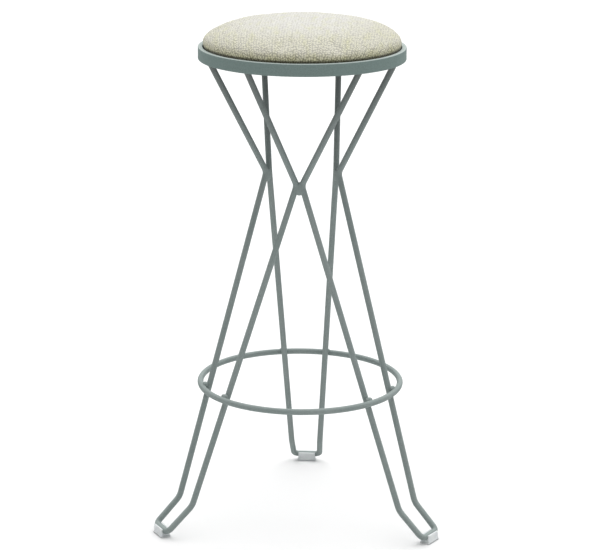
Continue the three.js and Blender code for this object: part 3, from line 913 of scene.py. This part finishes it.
def make_footrest_welds():
    level = FOOTREST_HEIGHT + ROD_RADIUS
    for letter, side in SIDES.items():
        bent, knee = waist_corner(side), knee_point(side)
        crossing = knee.lerp(bent, (level - knee.z) / (bent.z - knee.z))
        azimuth = math.degrees(math.atan2(crossing.y, crossing.x))
        raw = bead(RING_RADIUS - ROD_RADIUS, level, FOOTREST_BEAD, azimuth)
        ring = arc_bar(ring_section(ROD_RADIUS - WELD_SINK), azimuth, BEAD_SPREAD)
        rod = straight_rod(crossing, direction(knee, bent), *FOOTREST_WELD_ROD)
        shape = melted(MELT_ROUNDS, raw, ring, rod)
        place_welds("footrest_weld", shape, LEGS, "bead", f"_{letter}")


# The glides


def glide_outline():
    """The channel's section, as (across, height), with its snap-in mouth at the top."""
    bore, half, top = ROD_RADIUS + SEAM, GLIDE_HALF_WIDTH, FOOT_ROD_HEIGHT + GLIDE_WALL_REACH
    edge, foot = GLIDE_WALL_EDGE, GLIDE_MARGIN
    mouth = math.degrees(math.acos(GLIDE_MOUTH_SHARE))
    lip = GLIDE_MOUTH_SHARE * bore + GLIDE_MOUTH_FLARE
    flank = corner(half + foot, FLANGE_THICKNESS + foot, foot, -90, -180, CLIP_STEPS)
    shoulder = corner(half - edge, top - edge, edge, 0, 90, CLIP_STEPS)
    right = [(half + foot, CHANNEL_RISE), *flank, *shoulder, (lip, top)]
    left = [(-x, height) for x, height in right[::-1]]
    hollow = corner(0, FOOT_ROD_HEIGHT, bore, mouth, -180 - mouth, BORE_STEPS)
    return right + hollow + left


def rounded_rectangle(length, width, radius):
    points = []
    for start, (across, along) in zip((0, 90, 180, 270), CORNERS):
        x, y = across * (length / 2 - radius), along * (width / 2 - radius)
        points += corner(x, y, radius, start, start + 90, CORNER_STEPS)
    return points


def make_glides():
    """Snap-on clips whose walls run out into a wider, thicker sole."""
    vertices, faces = extruded(glide_outline(), -GLIDE_LENGTH / 2, GLIDE_LENGTH / 2)
    standing = [(x, -along, height) for x, height, along in vertices]
    width, length = 2 * (GLIDE_HALF_WIDTH + GLIDE_MARGIN), GLIDE_LENGTH + 2 * FLANGE_OVERHANG
    sole = extruded(rounded_rectangle(width, length, FLANGE_CORNER), 0, FLANGE_THICKNESS)
    vertices, faces = joined(bevelled(standing, faces, CHANNEL_BEVEL), bevelled(*sole, FLANGE_BEVEL))
    vertices = [v + Vector((FOOT_RADIUS, 0, 0)) for v in vertices]
    for where, azimuth in LEGS.items():
        node = f"glide_{where}"
        place(f"{node}_clip", (vertices, faces), "glide_plastic", [node], azimuth, SHARP_PART)


# The seat's tabs and fasteners


def make_tabs():
    half, inner, r = TAB_WIDTH / 2, TAB_END - TAB_LENGTH, TAB_CORNER
    end = math.degrees(math.asin(half / TAB_END))
    outline = corner(0, 0, TAB_END, -end, end)
    outline += corner(inner + r, half - r, r, 90, 180, CORNER_STEPS)
    outline += corner(inner + r, r - half, r, 180, 270, CORNER_STEPS)
    tab = bevelled(*extruded(outline, TAB_BOTTOM, TAB_TOP), TAB_BEVEL)
    section = [(HOOP_INNER + FILLET_SINK, TAB_BOTTOM + FILLET_SINK)]
    section += corner(TAB_END, TAB_BOTTOM, TAB_FILLET, 180, 270, CORNER_STEPS)
    spread = math.degrees((half - TAB_FILLET_MARGIN) / HOOP_INNER)
    fillet = arc_bar(section, 0, spread, FILLET_STEPS)
    for where, azimuth in BETWEEN.items():
        node = f"seat_tab_{where}"
        place(f"{node}_plate", tab, FRAME_SLOT, [node], azimuth, SHARP_PART)
        weld = f"seat_tab_weld_{where}"
        place(f"{weld}_fillet", fillet, FRAME_SLOT, [weld], azimuth, SHARP_PART)


def hexagon_reach(angle, across_flats):
    turned_by = (angle + math.pi / 6) % (math.pi / 3) - math.pi / 6
    return across_flats / 2 / math.cos(turned_by)


def screw_shape():
    """A socket screw with a rounded head, standing upright under the tab."""
    top = WASHER_BOTTOM - SEAM
    bottom = top - SCREW_HEAD_HEIGHT
    edge, tip, chamfer = SCREW_HEAD_EDGE, SCREW_TIP, SCREW_TIP_CHAMFER
    rim = corner(SCREW_HEAD_RADIUS - edge, bottom + edge, edge, -90, 0)
    rim += [(SCREW_HEAD_RADIUS, top), (SCREW_RADIUS, top)]
    end = [(SCREW_RADIUS, tip - chamfer), (SCREW_RADIUS - chamfer, tip), (0, tip)]
    vertices = []
    for i in range(FASTENER_SEGMENTS):
        angle = 2 * math.pi * i / FASTENER_SEGMENTS
        key = hexagon_reach(angle, SOCKET_FLATS)
        socket = [(0, bottom + SOCKET_DEPTH), (key, bottom + SOCKET_DEPTH)]
        socket += [(key, bottom + SOCKET_CHAMFER), (key + SOCKET_CHAMFER, bottom)]
        profile = socket + rim + end
        vertices += [(r * math.cos(angle), r * math.sin(angle), z) for r, z in profile]
    return read_mesh(mesh_of(vertices, grid_faces(FASTENER_SEGMENTS, len(profile), True, True)))


def washer_shape():
    bottom, top, outer, edge = WASHER_BOTTOM, WASHER_TOP, WASHER_RADIUS, WASHER_EDGE
    profile = [(WASHER_BORE, bottom), (outer - edge, bottom), (outer, bottom + edge)]
    profile += [(outer, top - edge), (outer - edge, top), (WASHER_BORE, top)]
    return turned(profile, FASTENER_SEGMENTS)


def make_fasteners():
    shapes = {"screw": screw_shape(), "washer": washer_shape()}
    for where, azimuth in BETWEEN.items():
        for kind, (vertices, faces) in shapes.items():
            moved = [Vector(v) + Vector((SCREW_CIRCLE, 0, 0)) for v in vertices]
            node = f"seat_{kind}_{where}"
            place(f"{node}_zinc", (moved, faces), "zinc_steel", [node], azimuth, SHARP_SCREW)


def round_noise(angle, density, seed):
    """Noise that closes on itself round the axis."""
    return noise.noise(Vector((math.cos(angle) * density, math.sin(angle) * density, seed)))


def make_dust_cover():
    """Thin felt that sags a little in the middle, with faint pulls towards its edge."""
    rings, segments = 26, 120
    top_side, bottom_side = [], []
    for i in range(rings + 1):
        share = i / rings
        bottom_row = []
        for k in range(segments):
            angle = 2 * math.pi * k / segments
            spot = Vector((math.cos(angle), math.sin(angle), 0)) * share * DUST_RADIUS
            sag = FELT_SAG * max(0.0, 1 - (spot.length / FELT_SAG_REACH) ** 2)
            sag += FELT_DIP * max(0.0, 1 - spot.length / FELT_DIP_REACH)
            pull = FELT_PULL * round_noise(angle, FELT_PULL_DENSITY, share * FELT_PULL_LENGTH)
            level = DUST_BOTTOM - max(sag + pull * max(0.0, 1 - spot.length / FELT_PULL_REACH), 0)
            top_side.append((spot.x, spot.y, level + DUST_THICKNESS))
            bottom_row.append((spot.x, spot.y, level))
        bottom_side = bottom_row + bottom_side
    felt_shape = top_side + bottom_side, grid_faces(2 * (rings + 1), segments, False, True)
    place("seat_dust_cover_felt", felt_shape, "dust_cover_felt", ["seat_dust_cover"], 0, SHARP_FELT)


# The cushion


def crown_profile():
    """(radius, height) points from the middle of the crown down to the hem's inner edge."""
    points = []
    for i in range(CROWN_STEPS + 1):
        angle = math.radians(90 * (1 - i / CROWN_STEPS))
        across = 0 if i == 0 else math.cos(angle) ** (2 / CROWN_RADIAL)
        rise = CUSHION_CROWN * math.sin(angle) ** (2 / CROWN_UPRIGHT)
        points.append((CUSHION_RADIUS * across, BULGE_LEVEL + rise))
    for i in range(1, BULGE_STEPS + 1):
        angle = math.radians(90 * i / BULGE_STEPS)
        radius = CUSHION_RADIUS - CUSHION_BULGE * (1 - math.cos(angle))
        points.append((radius, BULGE_LEVEL - BULGE_HEIGHT * math.sin(angle)))
    points += corner(CUSHION_EDGE - HEM_RADIUS, HEM_BOTTOM + HEM_RADIUS, HEM_RADIUS, 0, -90)
    return np.array(points + [(HEM_INNER, HEM_BOTTOM)])


def arc_lengths(profile):
    return np.concatenate([[0], np.cumsum(np.hypot(*np.diff(profile, axis=0).T))])


def disc_spot(x, y):
    """A square's point drawn evenly onto a disc, as (share of the radius, angle)."""
    if x == 0 and y == 0:
        return 0.0, 0.0
    if abs(x) > abs(y):
        return abs(x), math.pi / 4 * y / x + (math.pi if x < 0 else 0)
    return abs(y), math.pi / 2 - math.pi / 4 * x / y + (math.pi if y < 0 else 0)


def cushion_grid(lengths):
    """The cover's sheet: an even grid over the crown, then rings down the side and in under the board.
    Its spots are (length along the profile, angle)."""
    grid = COVER_GRID
    crown_end = lengths[CROWN_STEPS]
    spots, faces, index = [], [], {}
    for i in range(grid + 1):
        for j in range(grid + 1):
            share, angle = disc_spot(2 * i / grid - 1, 2 * j / grid - 1)
            index[i, j] = len(spots)
            spots.append((share * crown_end, angle))
    for i in range(grid):
        for j in range(grid):
            faces.append((index[i, j], index[i + 1, j], index[i + 1, j + 1], index[i, j + 1]))
    border = [index[i, 0] for i in range(grid)] + [index[grid, j] for j in range(grid)]
    border += [index[i, grid] for i in range(grid, 0, -1)] + [index[0, j] for j in range(grid, 0, -1)]
    rest = lengths[-1] - crown_end
    rings = math.ceil(rest / COVER_SPACING)
    above = border
    for ring in range(1, rings + 1):
        start, count = len(spots), len(border)
        spots += [(crown_end + rest * ring / rings, spots[k][1]) for k in border]
        below = list(range(start, start + count))
        for k in range(count):
            after = (k + 1) % count
            faces.append((above[k], below[k], below[after], above[after]))
        above = below
    return np.array(spots), faces


def stuffed(vertices, faces, held):
    """The sheet after its foam has pressed it out, by Blender's cloth with pressure from inside."""
    mesh = bpy.data.meshes.new("cloth")
    mesh.from_pydata([Vector(v) * MM for v in vertices], [], faces)
    sheet = link_object("cloth", mesh)
    scene = bpy.context.scene
    group = sheet.vertex_groups.new(name="held")
    for i, weight in enumerate(held):
        group.add([i], float(weight), "REPLACE")
    settings = sheet.modifiers.new("cloth", "CLOTH").settings
    settings.quality = 6
    settings.mass = 0.35
    settings.tension_stiffness = settings.compression_stiffness = 22
    settings.shear_stiffness = 8
    settings.bending_stiffness = 1.5
    settings.use_pressure = True
    settings.uniform_pressure_force = 4
    settings.vertex_group_mass = "held"
    settings.effector_weights.gravity = 0
    for step in range(1, CLOTH_FRAMES + 1):
        scene.frame_set(step)
    evaluated = sheet.evaluated_get(bpy.context.evaluated_depsgraph_get())
    moved = np.array([v.co[:] for v in evaluated.data.vertices]) / MM
    scene.frame_set(1)
    bpy.data.objects.remove(sheet)
    bpy.data.meshes.remove(mesh)
    return moved


def make_cushion():
    """The cloth cover, pressed out by its foam, and the foam under it."""
    profile = crown_profile()
    lengths = arc_lengths(profile)
    spots, faces = cushion_grid(lengths)
    length, angle = spots[:, 0], spots[:, 1]
    radius = np.interp(length, lengths, profile[:, 0])
    height = np.interp(length, lengths, profile[:, 1])
    over_board = height - BOARD_TOP
    lumps = np.array([uneven(r * math.cos(a), r * math.sin(a)) for r, a in zip(radius, angle)])
    height = height - CLOTH_ROOM * np.clip(over_board / CLOTH_ROOM_RISE, 0, 1)
    height = height + lumps * np.clip(over_board / LUMP_RISE, 0, 1)
    shaped = np.stack([radius * np.cos(angle), radius * np.sin(angle), height], axis=1)
    held = np.clip(1 - (height - BOARD_TOP) / CLOTH_HELD_RISE, 0, 1)
    move = stuffed(shaped, faces, held) - shaped
    reach = np.linalg.norm(move, axis=1, keepdims=True)
    shaped = shaped + move * np.minimum(1, CLOTH_REACH / np.maximum(reach, 1e-9))
    shaped = gathered(shaped, height)
    make_foam(shaped, faces)
    cover = place("seat_cover_cloth", (shaped, faces), "seat_fabric", ["seat_cover"], 0, NEVER_SHARP)
    weave_map(cover.data, spots)
    skin = cover.modifiers.new("skin", "SOLIDIFY")
    skin.thickness = COVER_THICKNESS * MM
    skin.offset = -1
    fine = cover.modifiers.new("fine", "SUBSURF")
    fine.levels = fine.render_levels = 1


def make_foam(shaped, faces):
    """The foam under the cloth: the cloth's shape drawn in, with a flat bottom on the board."""
    sheet = mesh_of(shaped, faces)
    sheet.normal_update()
    drawn_in = COVER_THICKNESS + SEAM
    for vertex in sheet.verts:
        vertex.co -= vertex.normal * drawn_in
    level = Vector((0, 0, BOARD_TOP + SEAM))
    parts = [*sheet.verts, *sheet.edges, *sheet.faces]
    cut = bmesh.ops.bisect_plane(sheet, geom=parts, plane_co=level, plane_no=(0, 0, 1), clear_inner=True)
    rim = [e for e in cut["geom_cut"] if isinstance(e, bmesh.types.BMEdge)]
    bmesh.ops.contextual_create(sheet, geom=rim)
    foam = place("seat_foam_block", read_mesh(sheet), "seat_foam", ["seat_foam"], 0, SHARP_PART)


def uneven(x, y):
    """The slow unevenness of hand-cut foam: fuller on the right, flatter on the left."""
    total = 0
    for height, middle_x, middle_y, spread in MOUNDS:
        total += height * math.exp(-((x - middle_x) ** 2 + (y - middle_y) ** 2) / spread)
    for height, length, seed in WAVES:
        total += height * noise.noise(Vector((x / length, y / length, seed)))
    return total


def gathered(shaped, height):
    """Small gathers where the cloth is drawn in between the board and the hoop."""
    out = []
    for (x, y, z), level in zip(shaped, height):
        angle = math.atan2(y, x)
        depth = round_noise(angle, GATHER_DENSITY, level / GATHER_LENGTH)
        share = max(0.0, 1 - abs(level - GATHER_LEVEL) / GATHER_REACH)
        pull = 1 + GATHER_DEPTH * depth * share / CUSHION_RADIUS
        out.append(Vector((x * pull, y * pull, z)))
    return out


def weave_map(mesh, spots):
    """The cloth's own flat coordinates, with its warp turned a little from front to back."""
    turn = math.radians(WARP_TURN)
    flat = [(s / WEAVE_UNIT * math.cos(a + turn), s / WEAVE_UNIT * math.sin(a + turn)) for s, a in spots]
    layer = mesh.uv_layers.new(name=WEAVE)
    for loop in mesh.loops:
        layer.data[loop.index].uv = flat[loop.vertex_index]


repaint_nodes()
make_legs()
make_hoop()
make_footrest()
make_waist_welds()
make_hoop_welds()
make_footrest_welds()
make_glides()
make_tabs()
make_fasteners()
make_dust_cover()
make_cushion()


# The stage

# The photograph's viewpoint, found from the lines of the rods, the hoop and the footrest ring: the
# camera's place in millimetres before it is turned round the stool, its turn in degrees, its pitch and
# roll in radians, and its film and lens in millimetres
CAMERA_SPOT = (-1.36, -3844.1, 1467.8)
CAMERA_TURN = 2.919
CAMERA_PITCH = 0.2667
CAMERA_ROLL = 0.0062
CAMERA_SENSOR = 36
CAMERA_LENS = 143.19

# A broad light from above and a little behind, in metres, degrees and watts per square metre
SUN_SPOT = (0.3, 0.8, 3)
SUN_WIDTH = 90
SUN_STRENGTH = 3

# The white surroundings' light, the floor as it throws light back and as it is seen, its half side in
# metres, how many millimetres it lies below the soles, and over how many it lets light through to them
WORLD_LIGHT = 0.28
FLOOR_BOUNCE = (0.8, 0.8, 0.8, 1)
FLOOR_SEEN = (0.97, 0.97, 0.97, 1)
FLOOR_HALF = 40
FLOOR_DROP = 0.5
SOLE_REACH = 4


def make_camera():
    turn = about_axis(CAMERA_TURN)
    camera = bpy.data.cameras.new("camera")
    camera.sensor_width = CAMERA_SENSOR
    camera.lens = CAMERA_LENS
    body = link_object("camera", camera)
    body.location = AXIS + turn @ Vector(CAMERA_SPOT) * MM
    look = turn @ Matrix.Rotation(math.pi / 2 - CAMERA_PITCH, 3, "X")
    body.rotation_euler = (look @ Matrix.Rotation(CAMERA_ROLL, 3, "Z")).to_euler()
    bpy.context.scene.camera = body


def make_sun():
    light = bpy.data.lights.new("overhead", "SUN")
    light.energy = SUN_STRENGTH
    light.angle = math.radians(SUN_WIDTH)
    body = link_object("overhead", light)
    body.location = SUN_SPOT
    body.rotation_euler = (-Vector(SUN_SPOT)).to_track_quat("-Z", "Y").to_euler()


def seen_directly(tree):
    """1 for the camera's own, mirrored and see-through rays, and 0 for the rays that carry light."""
    path = tree.nodes.new("ShaderNodeLightPath")
    either = math_node(tree, "MAXIMUM", path.outputs["Is Camera Ray"], path.outputs["Is Glossy Ray"])
    return math_node(tree, "MAXIMUM", either, path.outputs["Is Transmission Ray"])


def make_world():
    world = bpy.data.worlds.new("studio")
    bpy.context.scene.world = world
    world.use_nodes = True
    tree = world.node_tree
    strength = span(tree, seen_directly(tree), 0, 1, WORLD_LIGHT, 1)
    dress(tree, tree.nodes["Background"], Color=(1, 1, 1, 1), Strength=strength)


def make_floor():
    """White to the eye, darker to the light that it throws back up, and see-through from below. Light
    passes it on its way to a sole that stands on it, so that the soles show from below."""
    material, tree, shader = nodes_of("floor")
    tone = mix_color(tree, seen_directly(tree), FLOOR_BOUNCE, FLOOR_SEEN)
    dress(tree, shader, Base_Color=tone, Roughness=0.9)
    travelled = tree.nodes.new("ShaderNodeLightPath").outputs["Ray Length"]
    at_sole = math_node(tree, "LESS_THAN", travelled, SOLE_REACH * MM)
    open_to_light = math_node(tree, "MAXIMUM", surface(tree, "Backfacing"), at_sole)
    clear = tree.nodes.new("ShaderNodeBsdfTransparent").outputs[0]
    either = tree.nodes.new("ShaderNodeMixShader")
    for socket, source in zip(either.inputs, (open_to_light, shader.outputs[0], clear)):
        feed(tree, socket, source)
    feed(tree, tree.nodes["Material Output"].inputs["Surface"], either.outputs[0])
    mesh = bpy.data.meshes.new("floor")
    corners = [(x * FLOOR_HALF, y * FLOOR_HALF, -FLOOR_DROP * MM) for x, y in CORNERS]
    mesh.from_pydata(corners, [], [(0, 1, 2, 3)])
    mesh.materials.append(material)
    floor = link_object("floor", mesh)


make_world()
make_floor()
make_sun()
make_camera()
bpy.context.scene.view_settings.view_transform = "Standard"
